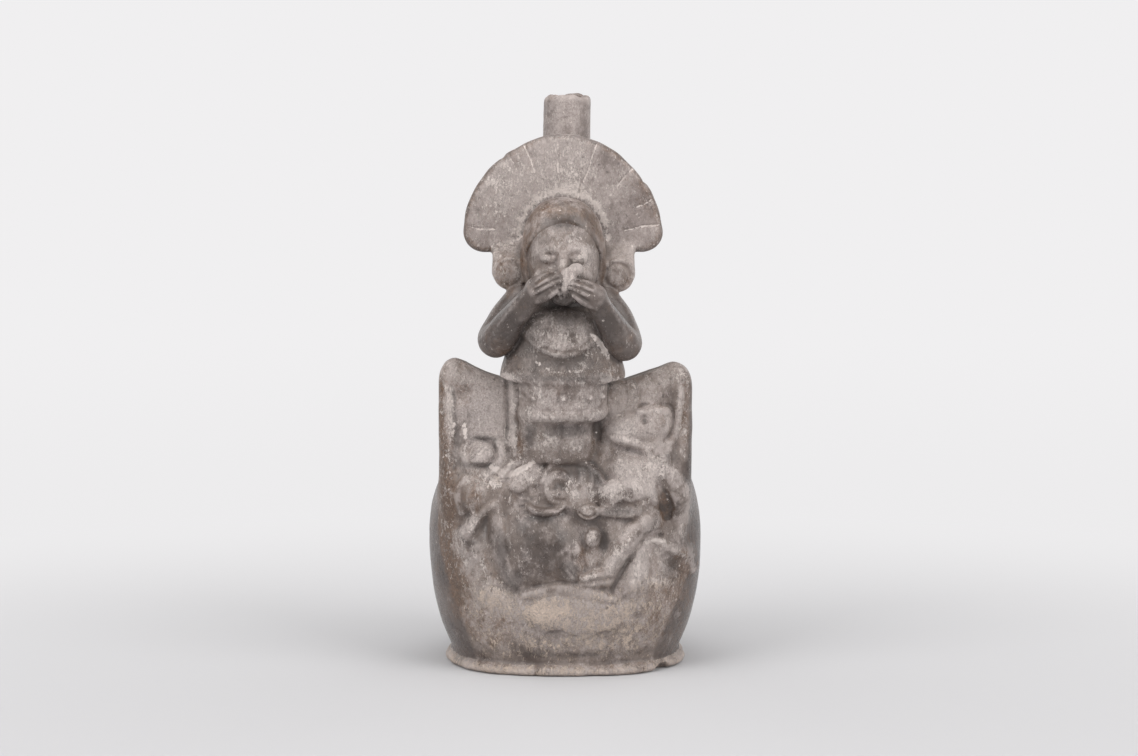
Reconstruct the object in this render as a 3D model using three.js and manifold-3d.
// A burnished blackware stirrup spout bottle, as the clay pieces a potter lutes together.
// A moulded front panel with two peaks and a worn relief scene closes a hand-built chamber,
// a standing figure with a fan headdress rises between the peaks, and a hollow stirrup
// handle behind it carries the spout.
// Millimetres, +Z up, the figure looks towards -Y. Left and right are the viewer's.
// The origin is the middle of the flat underside.
import * as THREE from "three";
import { mergeVertices } from "three/addons/utils/BufferGeometryUtils.js";
import Module from "manifold-3d";

const wasm = await Module();
wasm.setup();

// Driving dimensions
const overallHeight = 235;
const lutingGap = 0.3; // between neighbouring pieces of clay
const wall = 5; // of the front panel and the chamber
const figureWall = 5; // of the hollow torso and head

const footHalfWidth = 50;
const footHeight = 5;
const footLean = 3; // how far the foot's top edge lies inside its rim
const chipRadius = 4.2; // of the bit knocked off the foot's rim
const chipDirection = -0.63; // radians round from +X

const chamberHalfWidth = 56.5;
const chamberTop = 103;
const bellyHeight = 53; // where the chamber is widest
const depthShare = 0.832; // half depth over half width, of the chamber and of the foot
const planPower = 2.4; // of the oval plan: 2 is an ellipse, more is squarer

const seamInset = 23; // from the front of the chamber back to the seam, which the peaks stand on
const peakInset = 4.9; // from the chamber's side to the peaks' side
const peakRise = { left: 24.3, right: 22.8 }; // above the chamber's top
const peakRound = 6.6; // from a peak's side to its tip
const saddleRise = 18.5; // of the wall's top edge between a peak and the figure
const peakHalfThickness = { root: 8, shoulder: 18.5, tip: 10 }; // front to back
const peakPower = 3.2; // of the peaks' plan

const figureX = -1.2;
const legsHeight = 18.2;
const legRadius = 6.6;
const legSpacing = 16.5;
const kiltHeight = 16.5;
const kiltHalfWidth = 18.4;
const kiltLift = 3; // of its lower edge above the chamber's top
const kiltPower = 2.8; // of its oval plan
const pelletSpacing = 0.57; // radians round the kilt
const torsoHeight = 30.5;
const torsoHalfWidth = 22;
const torsoHalfDepth = 16;
const torsoForward = 13; // of the torso's middle in front of the seam
const collarThickness = 1.3;
const armRadius = 6.7; // at the elbow
const wristRadius = 4.5;
const elbowOut = { left: 4.8, right: 2.4 }; // beyond the torso's side
const elbowDrop = { left: 15.6, right: 17 }; // below the torso's top

const headHeight = 38;
const headHalfWidth = 14.4;
const headHalfDepth = 15.6;
const capThickness = 2.6;
const fanRadius = 40.6;
const fanThickness = 7;
const fanLift = 24.5; // of its centre above the chin
const fanDrop = 5.4; // of its lower edge below its centre
const fanCorner = 6; // rounding at the two lower corners
const spoolRadius = 7.4;
const spoolOut = { left: 6.7, right: 7.6 }; // of its centre beyond the head's side
const spoolLift = { left: 11.4, right: 10.4 }; // of its centre above the chin
const whistleRadius = 4.6;

const tubeRadius = 10; // of the stirrup
const tubeBore = 6;
const spoutX = 0.3;
const spoutRise = 51; // of the lip above the middle of the arch
const archRise = 34; // of the middle of the arch above the straight part of the legs
const frontLegBehind = 12; // of the front leg's middle behind the seam
const rearLegInset = 11; // of the rear leg's middle from the back of the chamber
const spoutRadius = { low: 10.2, high: 9.8 };
const spoutBore = 6.8;

// Places that follow from them
const room = 400; // larger than the object, for cutting blocks
const footTop = footHeight + lutingGap;
const chamberHalfDepth = chamberHalfWidth * depthShare;
const seamY = seamInset - chamberHalfDepth;
const shoulderHeight = bellyHeight + 23;
const peakRoot = bellyHeight - 3;
const peakHalfWidth = chamberHalfWidth - peakInset;
const saddleHeight = chamberTop + saddleRise;

const kiltBottom = chamberTop + kiltLift;
const legsBottom = kiltBottom - legsHeight;
const torsoBottom = kiltBottom + kiltHeight;
const torsoTop = torsoBottom + torsoHeight;
const torsoY = seamY - torsoForward;
const kiltFrontY = torsoY - torsoHalfDepth - 0.2;
const kiltHalfDepth = (seamY - kiltFrontY) / 2 + 4;
const legFrontY = kiltFrontY + 3.7;
const chin = torsoTop - 0.5;
const headY = torsoY + 1;
const fanBackY = headY + headHalfDepth + 0.4;
const spoolFrontY = headY - 1.5;
const whistle = new THREE.Vector3(figureX + 3.4, headY - headHalfDepth - 3.4, chin + 10.7);

const frontLegY = seamY + frontLegBehind;
const rearLegY = chamberHalfDepth - rearLegInset;
const spoutY = (frontLegY + rearLegY) / 2;
const archTop = overallHeight - spoutRise;
const archSpring = archTop - archRise;

// A closed solid from any closed three.js geometry, turned right side out.
function solid(geometry) {
  const bare = geometry.index ? geometry.toNonIndexed() : geometry.clone();
  for (const name of Object.keys(bare.attributes)) {
    if (name !== "position") bare.deleteAttribute(name);
  }
  const merged = mergeVertices(bare, 1e-3);
  const index = merged.index.array;
  const kept = [];
  for (let i = 0; i < index.length; i += 3) {
    const [a, b, c] = [index[i], index[i + 1], index[i + 2]];
    if (a !== b && b !== c && c !== a) kept.push([a, b, c]);
  }
  const build = (triangles) =>
    new wasm.Manifold(
      new wasm.Mesh({
        numProp: 3,
        vertProperties: merged.attributes.position.array,
        triVerts: new Uint32Array(triangles.flat()),
      }),
    );
  const made = build(kept);
  return made.volume() < 0 ? build(kept.map(([a, b, c]) => [a, c, b])) : made;
}

function join(solids) {
  return solids.reduce((all, next) => all.add(next));
}

function cut(body, ...tools) {
  return tools.reduce((left, tool) => left.subtract(tool), body);
}

// Moves every vertex of a geometry by a function that changes a point in place.
function reshape(geometry, place) {
  const position = geometry.attributes.position;
  const point = new THREE.Vector3();
  for (let i = 0; i < position.count; i += 1) {
    point.fromBufferAttribute(position, i);
    place(point);
    position.setXYZ(i, point.x, point.y, point.z);
  }
  return geometry;
}

// Distance from the middle of an oval to its edge, in the direction of an angle.
function ovalReach(angle, halfWidth, halfDepth, power) {
  const across = Math.abs(Math.cos(angle)) / halfWidth;
  const along = Math.abs(Math.sin(angle)) / halfDepth;
  return (across ** power + along ** power) ** (-1 / power);
}

// A solid through level oval rings { z, w, d, x, y }, listed from the bottom up.
function ovalLoft(rings, { segments = 24, power = 2 } = {}) {
  const profile = [
    new THREE.Vector2(0, 0),
    ...rings.map((_, level) => new THREE.Vector2(1, level)),
    new THREE.Vector2(0, rings.length - 1),
  ];
  const geometry = reshape(new THREE.LatheGeometry(profile, segments), (p) => {
    const ring = rings[Math.round(p.y)];
    const angle = Math.atan2(p.z, p.x);
    const reach = Math.hypot(p.x, p.z) < 0.5 ? 0 : ovalReach(angle, ring.w, ring.d, power);
    const [x, y] = [ring.x ?? 0, ring.y ?? 0];
    p.set(x + reach * Math.cos(angle), y + reach * Math.sin(angle), ring.z);
  });
  return solid(geometry);
}

// A round limb along a curve, with its radius at each of the curve's points, and round ends.
function limb(points, radii, { grow = 0, sides = 12, steps = 10 } = {}) {
  const curve = new THREE.CatmullRomCurve3(points.map((p) => new THREE.Vector3(...p)));
  const endSteps = 3;
  const stations = [];
  for (let i = 0; i <= steps; i += 1) stations.push({ t: i / steps, over: 0, share: 1 });
  for (let i = 1; i <= endSteps; i += 1) {
    const angle = (i / endSteps) * (Math.PI / 2);
    stations.unshift({ t: 0, over: -Math.sin(angle), share: Math.cos(angle) });
    stations.push({ t: 1, over: Math.sin(angle), share: Math.cos(angle) });
  }
  const frames = curve.computeFrenetFrames(steps, false);
  const profile = stations.map((s, i) => new THREE.Vector2(s.share < 1e-6 ? 0 : 1, i));
  const geometry = reshape(new THREE.LatheGeometry(profile, sides), (p) => {
    const station = stations[Math.round(p.y)];
    const frame = Math.round(station.t * steps);
    const place = station.t * (radii.length - 1);
    const before = Math.min(Math.floor(place), radii.length - 2);
    const radius = grow + THREE.MathUtils.lerp(radii[before], radii[before + 1], place - before);
    const angle = Math.atan2(p.z, p.x);
    const reach = Math.hypot(p.x, p.z) < 0.5 ? 0 : radius * station.share;
    p.copy(curve.getPoint(station.t));
    p.addScaledVector(frames.tangents[frame], radius * station.over);
    p.addScaledVector(frames.normals[frame], reach * Math.cos(angle));
    p.addScaledVector(frames.binormals[frame], reach * Math.sin(angle));
  });
  return solid(geometry);
}

function ball([x, y, z], radii, { grow = 0, around = 12, down = 8 } = {}) {
  const geometry = new THREE.SphereGeometry(1, around, down);
  geometry.scale(...radii.map((radius) => radius + grow));
  geometry.translate(x, y, z);
  return solid(geometry);
}

// An outline drawn in the front view, extruded from frontY to backY, with rounded edges.
function plate(shape, frontY, backY, rounding, curveSegments) {
  const geometry = new THREE.ExtrudeGeometry(shape, {
    depth: backY - frontY - 2 * rounding,
    bevelEnabled: rounding > 0,
    bevelThickness: rounding,
    bevelSize: rounding,
    bevelOffset: -rounding,
    bevelSegments: 2,
    curveSegments,
  });
  return solid(reshape(geometry, (p) => p.set(p.x, frontY + rounding + p.z, p.y)));
}

function block(low, high) {
  const size = high.map((value, i) => value - low[i]);
  const geometry = new THREE.BoxGeometry(...size);
  return solid(geometry.translate(...low.map((value, i) => value + size[i] / 2)));
}

function uprightCylinder(x, y, radius, bottom, top) {
  const geometry = new THREE.CylinderGeometry(radius, radius, top - bottom, 16);
  geometry.rotateX(Math.PI / 2).translate(x, y, (top + bottom) / 2);
  return solid(geometry);
}

// The chamber's outline from the foot up to the belly and over the shoulder, as half width
// and height. It starts inside the foot's top edge.
const chamberOutline = new THREE.SplineCurve([
  ...[
    [0, 0],
    [0.41, 0.21],
    [0.8, 0.5],
    [1, 1],
  ].map(([flare, rise]) => {
    const width = THREE.MathUtils.lerp(footHalfWidth - footLean, chamberHalfWidth, flare);
    return new THREE.Vector2(width, THREE.MathUtils.lerp(footTop, bellyHeight, rise));
  }),
  ...[
    [0.983, 0.24],
    [0.93, 0.44],
    [0.82, 0.64],
    [0.63, 0.83],
    [0.38, 0.95],
    [0.12, 1],
  ].map(([share, rise]) => {
    const z = THREE.MathUtils.lerp(bellyHeight, chamberTop, rise);
    return new THREE.Vector2(share * chamberHalfWidth, z);
  }),
]);

function chamberForm(grow, bottom) {
  const steps = 14;
  const rings = [];
  for (let i = 0; i <= steps; i += 1) {
    const point = chamberOutline.getPoint(i / steps);
    const tangent = chamberOutline.getTangent(i / steps);
    const outward = grow * tangent.y;
    const z = i === 0 ? bottom : point.y - grow * tangent.x;
    rings.push({ z, w: point.x + outward, d: point.x * depthShare + outward });
  }
  return ovalLoft(rings, { segments: 32, power: planPower });
}

// The wall that ends in the two peaks, hidden in the chamber at its root
function peakHalfThicknessAt(z) {
  const { root, shoulder, tip } = peakHalfThickness;
  if (z < shoulderHeight) {
    return THREE.MathUtils.lerp(root, shoulder, THREE.MathUtils.smoothstep(z, peakRoot, shoulderHeight));
  }
  const tipHeight = chamberTop + peakRise.left;
  const share = Math.min(1, (z - shoulderHeight) / (tipHeight - shoulderHeight));
  return THREE.MathUtils.lerp(shoulder, tip, share);
}

function peaksForm(grow) {
  const side = peakHalfWidth + grow;
  const peak = (direction, rise) => {
    const tip = chamberTop + rise + grow;
    const at = (inset, drop) => new THREE.Vector2(direction * (side - inset), tip - drop);
    return [
      at(0, 16),
      at(1.2, 7.5),
      at(peakRound - 3.4, 1.7),
      at(peakRound, 0),
      at(peakRound + 6, 1),
    ];
  };
  const saddle = (x) => new THREE.Vector2(x, saddleHeight + grow);
  const outline = new THREE.Shape();
  outline.moveTo(-side, peakRoot);
  outline.lineTo(side, peakRoot);
  outline.lineTo(side, chamberTop + peakRise.right + grow - 16);
  outline.splineThru([
    ...peak(1, peakRise.right).slice(1),
    saddle(torsoHalfWidth + 6),
    saddle(0),
    saddle(-torsoHalfWidth - 6),
    ...peak(-1, peakRise.left).reverse(),
  ]);
  const top = chamberTop + peakRise.left + wall;
  const rings = [0, 0.14, 0.26, 0.36, 0.6, 1].map((rise) => {
    const z = THREE.MathUtils.lerp(peakRoot, top, rise);
    return { z, w: side, d: peakHalfThicknessAt(z) + grow, y: seamY };
  });
  const wallForm = ovalLoft(rings, { segments: 32, power: peakPower });
  return wallForm.intersect(plate(outline, -room, room, 0, 2));
}

function shellForm(grow) {
  return chamberForm(grow, footTop).add(peaksForm(grow));
}

const shell = cut(shellForm(0), chamberForm(-wall, 0), peaksForm(-wall));
const outside = shellForm(lutingGap);

// Air holes, so that no hollow is sealed when the clay is fired
const ventRadius = 5.5;
const torsoVent = ball([figureX, seamY - torsoForward, torsoBottom], [7, torsoForward, ventRadius]);
const kiltVent = ball([figureX, seamY - torsoForward, kiltBottom + 8], [8, torsoForward, 4]);
const neckHole = uprightCylinder(figureX, torsoY, 3.4, torsoTop - 12, chin + 12);

const frontHalf = block([-room, -room, 0], [room, seamY - lutingGap / 2, room]);
const backHalf = block([-room, seamY + lutingGap / 2, 0], [room, room, room]);
const legHole = (y) => uprightCylinder(spoutX, y, tubeBore, bellyHeight, archSpring);

// The foot, a slab with a flared rim and a small chip
function footSlab() {
  const rimInset = [
    [0, 1.6],
    [0.24, 0.2],
    [0.44, 0],
    [0.72, 0.9],
    [1, footLean],
  ];
  const rings = rimInset.map(([rise, inset]) => ({
    z: footHeight * rise,
    w: footHalfWidth - inset,
    d: footHalfWidth * depthShare - inset,
  }));
  const reach = ovalReach(chipDirection, footHalfWidth, footHalfWidth * depthShare, planPower);
  const chipCentre = [reach * Math.cos(chipDirection), reach * Math.sin(chipDirection), -1.2];
  const chip = ball(chipCentre, [chipRadius, chipRadius, chipRadius]);
  return cut(ovalLoft(rings, { segments: 32, power: planPower }), chip);
}

// The stirrup: each leg rises from the chamber and bends over to the spout
function legPath(rootY, rootZ) {
  const span = rootY - spoutY;
  const points = [new THREE.Vector3(spoutX, rootY, rootZ)];
  const steps = 6;
  for (let i = 0; i <= steps; i += 1) {
    const angle = (i / steps) * (Math.PI / 2);
    const y = spoutY + span * Math.cos(angle);
    points.push(new THREE.Vector3(spoutX, y, archSpring + archRise * Math.sin(angle)));
  }
  return new THREE.CatmullRomCurve3(points);
}

function tubeAlong(path, radius) {
  const ring = new THREE.Shape().absarc(0, 0, radius, 0, 2 * Math.PI);
  return solid(
    new THREE.ExtrudeGeometry(ring, {
      steps: 12,
      curveSegments: 8,
      bevelEnabled: false,
      extrudePath: path,
    }),
  );
}

const frontPath = legPath(frontLegY, chamberTop - 8);
const rearPath = legPath(rearLegY, shoulderHeight - 8);
const frontLegForm = tubeAlong(frontPath, tubeRadius + lutingGap);
const rearLegForm = tubeAlong(rearPath, tubeRadius + lutingGap);

function stirrupLeg(path, side) {
  const tube = cut(tubeAlong(path, tubeRadius), tubeAlong(path, tubeBore), outside);
  const spoutHole = uprightCylinder(spoutX, spoutY, tubeBore, archTop, overallHeight);
  return cut(tube.intersect(side), spoutHole);
}

function spout() {
  const outline = [
    [spoutBore, archTop],
    [spoutRadius.low, archTop],
    [spoutRadius.high, overallHeight - 1.8],
    [spoutRadius.high - 0.6, overallHeight - 0.4],
    [spoutRadius.high - 1.6, overallHeight],
    [spoutBore + 0.4, overallHeight - 0.5],
    [spoutBore, overallHeight - 1.8],
    [spoutBore, archTop],
  ];
  const points = outline.map(([radius, z]) => new THREE.Vector2(radius, z));
  const tube = new THREE.LatheGeometry(points, 24);
  reshape(tube, (p) => p.set(p.x + spoutX, p.z + spoutY, p.y));
  return cut(solid(tube), frontLegForm, rearLegForm);
}

// The figure's body, as shares of its height, half width and half depth
const torsoOutline = [
  [0, 0.93, 0.9],
  [0.11, 1, 1],
  [0.23, 0.985, 0.97],
  [0.49, 0.96, 0.93],
  [0.72, 0.88, 0.84],
  [0.88, 0.66, 0.66],
  [1, 0.36, 0.42],
];

function torsoForm(grow) {
  const rings = torsoOutline.map(([rise, width, depth]) => ({
    z: torsoBottom + torsoHeight * rise + grow * (2 * rise - 1),
    w: torsoHalfWidth * width + grow,
    d: torsoHalfDepth * depth + grow,
    x: figureX,
    y: torsoY,
  }));
  return ovalLoft(rings, { power: 2.3 });
}

function kiltForm(grow) {
  const outline = [
    [0, 0.98],
    [0.15, 1.02],
    [0.25, 0.97],
    [1, 0.98],
  ];
  const rings = outline.map(([rise, share]) => ({
    z: kiltBottom + (kiltHeight - lutingGap) * rise + Math.min(0, grow) * (2 * rise - 1),
    w: kiltHalfWidth * share + grow,
    d: kiltHalfDepth * share + grow,
    x: figureX,
    y: kiltFrontY + kiltHalfDepth,
  }));
  return ovalLoft(rings, { power: kiltPower });
}

function kilt() {
  const pellets = [-2, -1, 0, 1, 2].map((step) => {
    const angle = step * pelletSpacing - Math.PI / 2;
    const reach = 0.975 * ovalReach(angle, kiltHalfWidth, kiltHalfDepth, kiltPower);
    const x = figureX + reach * Math.cos(angle);
    const y = kiltFrontY + kiltHalfDepth + reach * Math.sin(angle);
    return ball([x, y, kiltBottom + kiltHeight * 0.6], [1.5, 1.5, 1.6], { around: 8, down: 6 });
  });
  const body = join([kiltForm(0), ...pellets]);
  return cut(body, kiltForm(-figureWall), kiltVent, outside, frontLegForm);
}

function legsForm(grow) {
  const legY = legFrontY + legRadius;
  const legAt = (side) => {
    const x = figureX + (side * legSpacing) / 2;
    const ends = [
      [x, legY, legsBottom],
      [x, legY, kiltBottom],
    ];
    return limb(ends, [legRadius + 0.6, legRadius], { grow, steps: 3 });
  };
  const middle = [figureX, legY + 1.5, legsBottom + legsHeight / 2];
  const between = ball(middle, [6, 4, legsHeight / 2], { grow });
  const reach = block([-room, -room, legsBottom - grow], [room, room, kiltBottom - lutingGap]);
  return join([legAt(-1), legAt(1), between]).intersect(reach);
}

function headForm(grow) {
  const half = headHeight / 2;
  const rings = [];
  const steps = 11;
  for (let i = 1; i < steps; i += 1) {
    const angle = Math.PI * (i / steps - 0.5);
    const reach = Math.cos(angle) ** 0.8;
    rings.push({
      z: chin + half + (half + grow) * Math.sin(angle),
      w: headHalfWidth * reach + grow,
      d: headHalfDepth * reach + grow,
      x: figureX + 0.4,
      y: headY,
    });
  }
  return ovalLoft(rings, { power: 2.2 });
}

// The fan, centred on the head, drawn from its lower edge round the arc
function fanForm(grow) {
  const radius = fanRadius + grow;
  const cornerAngle = Math.asin(fanCorner / radius);
  const cornerX = radius * Math.cos(cornerAngle);
  const bottom = -fanDrop - grow;
  const straight = cornerX - 2 * fanCorner;
  const shape = new THREE.Shape();
  shape.moveTo(-straight, bottom + 0.6);
  shape.lineTo(-headHalfWidth, bottom);
  shape.lineTo(headHalfWidth, bottom);
  shape.lineTo(straight, bottom + 0.6);
  shape.quadraticCurveTo(cornerX + 0.6, bottom + 1.4, cornerX, fanCorner);
  shape.absarc(0, 0, radius, cornerAngle, Math.PI - cornerAngle, false);
  shape.quadraticCurveTo(-cornerX - 0.6, bottom + 1.4, -straight, bottom + 0.6);
  const fan = plate(shape, fanBackY - fanThickness - grow, fanBackY + grow, 1.6, 12);
  return fan.translate([figureX, 0, chin + fanLift]);
}

// A disc hanging from the fan by a short flap
function spoolForm(side, grow) {
  const direction = side === "left" ? -1 : 1;
  const x = figureX + direction * (headHalfWidth + spoolOut[side]);
  const z = chin + spoolLift[side];
  const radius = spoolRadius + grow;
  const flapTop = fanLift - fanDrop - spoolLift[side] + 3;
  const outline = new THREE.Shape();
  outline.moveTo(-radius + 0.4, flapTop);
  outline.lineTo(-radius + 0.4, 2);
  outline.absarc(0, 0, radius, Math.PI, 2 * Math.PI, false);
  outline.lineTo(radius - 0.4, flapTop);
  outline.closePath();
  const disc = new THREE.Shape().absarc(0, 0, radius - 0.9, 0, 2 * Math.PI);
  const backY = fanBackY - fanThickness;
  const flap = plate(outline, spoolFrontY + 3 - grow, backY + grow, 1.2, 6);
  return flap.add(plate(disc, spoolFrontY - grow, backY - 2, 1.2, 6)).translate([x, 0, z]);
}

// Shoulder, upper arm, elbow, forearm, wrist and hand, up to the whistle
function armForm(side, grow) {
  const direction = side === "left" ? -1 : 1;
  const out = (distance) => figureX + direction * (torsoHalfWidth + distance);
  const shoulder = new THREE.Vector3(out(-7.5), torsoY + 5, torsoTop - 3.5);
  const upperArm = new THREE.Vector3(out(0), torsoY + 2, torsoTop - 7);
  const elbow = new THREE.Vector3(out(elbowOut[side]), torsoY - 5.5, torsoTop - elbowDrop[side]);
  const handLift = side === "left" ? -0.6 : -4.2;
  const hand = whistle.clone().add(new THREE.Vector3(direction * 5.6, -1.4, handLift));
  const forearm = elbow.clone().lerp(hand, 0.38);
  const wrist = elbow.clone().lerp(hand, 0.74);
  const route = [shoulder, upperArm, elbow, forearm, wrist, hand];
  const radii = [0.97, 1, 1, 0.8].map((share) => share * armRadius);
  return limb(
    route.map((p) => p.toArray()),
    [...radii, wristRadius, wristRadius - 0.3],
    { grow, steps: 14 },
  );
}

const torsoOuter = torsoForm(lutingGap);
const headOuter = headForm(lutingGap);
const capOuter = headForm(capThickness + lutingGap);
const fanOuter = fanForm(lutingGap);
const spoolOuter = { left: spoolForm("left", lutingGap), right: spoolForm("right", lutingGap) };
const armOuter = { left: armForm("left", lutingGap), right: armForm("right", lutingGap) };

function torso() {
  return cut(torsoForm(0), torsoForm(-figureWall), torsoVent, neckHole, outside, frontLegForm);
}

function head() {
  return cut(headForm(0), headForm(-figureWall), neckHole, torsoOuter, frontLegForm);
}

// A close cap over the top, the back and the sides of the head
const capRegion = block([-room, headY - 8.5, chin + 17], [room, room, room]);

function cap() {
  const layer = headForm(capThickness).intersect(capRegion);
  return cut(layer, headOuter, frontLegForm, fanOuter);
}

// A crescent that lies on the chest
function collar() {
  const half = torsoHalfWidth - 5.8;
  const [low, side, high] = [torsoBottom + 8.1, torsoBottom + 18.5, torsoTop - 3];
  const crescent = new THREE.Shape();
  crescent.moveTo(-half, side);
  crescent.quadraticCurveTo(-half * 0.8, low, 0, low);
  crescent.quadraticCurveTo(half * 0.8, low, half, side);
  crescent.quadraticCurveTo(half / 2, high, 0, high);
  crescent.quadraticCurveTo(-half / 2, high, -half, side);
  const frontY = torsoY - torsoHalfDepth - 2 * collarThickness;
  const slab = plate(crescent, frontY, torsoY, 0.1, 6).translate([figureX, 0, 0]);
  const layer = torsoForm(lutingGap + collarThickness).intersect(slab);
  return cut(layer, torsoOuter, headOuter, armOuter.left, armOuter.right);
}

// Half width of the chamber at a height
function chamberHalfWidthAt(z) {
  const samples = chamberOutline.getPoints(80);
  const nearest = samples.reduce((best, p) => (Math.abs(p.y - z) < Math.abs(best.y - z) ? p : best));
  return nearest.x;
}

// The relief's places are drawn for a chamber of this size, and follow it when it changes
const reliefDrawnFor = { halfWidth: 56.5, top: 103 };

// A point on the panel's front, or standing proud of it, from its place in the front view
function onPanel(drawnX, drawnZ, proud) {
  const x = (drawnX * chamberHalfWidth) / reliefDrawnFor.halfWidth;
  const z = (drawnZ * chamberTop) / reliefDrawnFor.top;
  const halfWidth = chamberHalfWidthAt(z);
  const inside = 1 - Math.min(1, Math.abs(x) / halfWidth) ** planPower;
  const chamberY = -depthShare * halfWidth * inside ** (1 / planPower);
  const insideWall = 1 - Math.min(1, Math.abs(x) / peakHalfWidth) ** peakPower;
  const wallY = seamY - peakHalfThicknessAt(z) * insideWall ** (1 / peakPower);
  return [x, Math.min(chamberY, wallY) - proud, z];
}

// Lumps of the relief: boss is a flattened ball, strip is a limb laid on the panel
const boss = (x, z, halfWidth, halfHeight, proud) => (grow) =>
  ball(onPanel(x, z, 0), [halfWidth, proud, halfHeight], { grow });
const strip = (places, radii, proud) => (grow) =>
  limb(
    places.map(([x, z]) => onPanel(x, z, proud)),
    radii,
    { grow, sides: 10, steps: 8 },
  );

const relief = {
  relief_middle_head: [boss(4.4, 79.6, 13.2, 9.4, 3), boss(-1.6, 79, 6.6, 7.4, 6)],
  relief_left_arm: [strip([[2, 69.8], [-6, 68.8], [-13, 69.6], [-16.6, 73]], [2.8, 3, 2.8, 3], 1.6)],
  relief_right_arm: [
    strip([[8, 69.3], [15, 69], [23, 69.4], [30, 69.4]], [4.2, 3, 3.4, 4.4], 1.6),
    boss(20, 76, 4.6, 4.4, 6),
  ],
  relief_small_head: [boss(10.7, 57.8, 4.6, 5, 6)],
  relief_foot: [boss(1, 46, 5, 5.4, 5.2)],
  relief_left_body: [boss(-10.6, 51, 12.8, 16.4, 6.4)],
  relief_left_leg: [
    strip([[-24.4, 50], [-27, 62], [-30.5, 70.5], [-36, 64], [-40, 56]], [3.2, 3.4, 3.4, 3.4, 3], 1),
  ],
  relief_right_body: [boss(35, 73, 10, 11, 6.4)],
  relief_right_leg: [
    strip([[36, 58], [27.5, 54], [20, 47], [14, 41]], [5, 5, 4.2, 3.4], 1),
    boss(12.4, 40, 6.4, 3.2, 4.4),
  ],
  relief_right_animal: [
    boss(35, 104, 8.4, 6.6, 5),
    boss(24.6, 99, 8.4, 5, 4),
    strip([[36, 99], [37.4, 92], [38, 86]], [6, 5.6, 5], 0),
  ],
  relief_left_animal: [boss(-33.6, 93.4, 6, 6, 4.6)],
};

// The clay's finishes: rubbed to a soft sheen, worn matt, and matt under a pale mineral crust
const finishes = {
  burnished: { color: 0x675d58, roughness: 0.42, metalness: 0 },
  worn: { color: 0x8c827d, roughness: 0.62, metalness: 0 },
  crusted: { color: 0xa69d9b, roughness: 0.78, metalness: 0 },
};
const bottle = new THREE.Group();

function addPiece(name, body, finish = "worn") {
  const made = body.getMesh();
  const geometry = new THREE.BufferGeometry();
  geometry.setAttribute("position", new THREE.BufferAttribute(made.vertProperties, 3));
  geometry.setIndex(new THREE.BufferAttribute(made.triVerts, 1));
  const piece = new THREE.Mesh(geometry, new THREE.MeshStandardMaterial(finishes[finish]));
  piece.name = name;
  bottle.add(piece);
}

addPiece("foot_slab", footSlab());
addPiece("front_panel", cut(shell.intersect(frontHalf), torsoVent, kiltVent));
addPiece("chamber", cut(shell.intersect(backHalf), legHole(frontLegY), legHole(rearLegY)), "burnished");
addPiece(
  "stirrup_front_leg",
  stirrupLeg(frontPath, block([-room, -room, 0], [room, spoutY - lutingGap / 2, room])),
  "burnished",
);
addPiece(
  "stirrup_rear_leg",
  stirrupLeg(rearPath, block([-room, spoutY + lutingGap / 2, 0], [room, room, room])),
  "burnished",
);
addPiece("spout", spout(), "crusted");
addPiece("figure_torso", torso());
addPiece("figure_kilt", kilt());
addPiece("figure_legs", cut(legsForm(0), outside));
addPiece("figure_head", head());
addPiece("cap", cap());
addPiece("headdress_fan", cut(fanForm(0), headOuter, frontLegForm), "crusted");
addPiece("collar", collar());
for (const side of ["left", "right"]) {
  const spool = spoolForm(side, 0);
  addPiece(`ear_spool_${side}`, cut(spool, headOuter, capOuter, fanOuter, torsoOuter));
  const arm = armForm(side, 0);
  const beside = [torsoOuter, headOuter, outside, frontLegForm, spoolOuter[side]];
  addPiece(`arm_${side}`, cut(arm, ...beside), "burnished");
}
const whistleBody = ball(whistle.toArray(), [whistleRadius, whistleRadius, whistleRadius * 1.15]);
addPiece("whistle", cut(whistleBody, headOuter, armOuter.left, armOuter.right), "crusted");

// Each lump of the relief stops short of those laid before it
const laid = [outside, legsForm(lutingGap)];
for (const [name, lumps] of Object.entries(relief)) {
  addPiece(name, cut(join(lumps.map((lump) => lump(0))), ...laid));
  laid.push(join(lumps.map((lump) => lump(lutingGap))));
}

export default bottle;
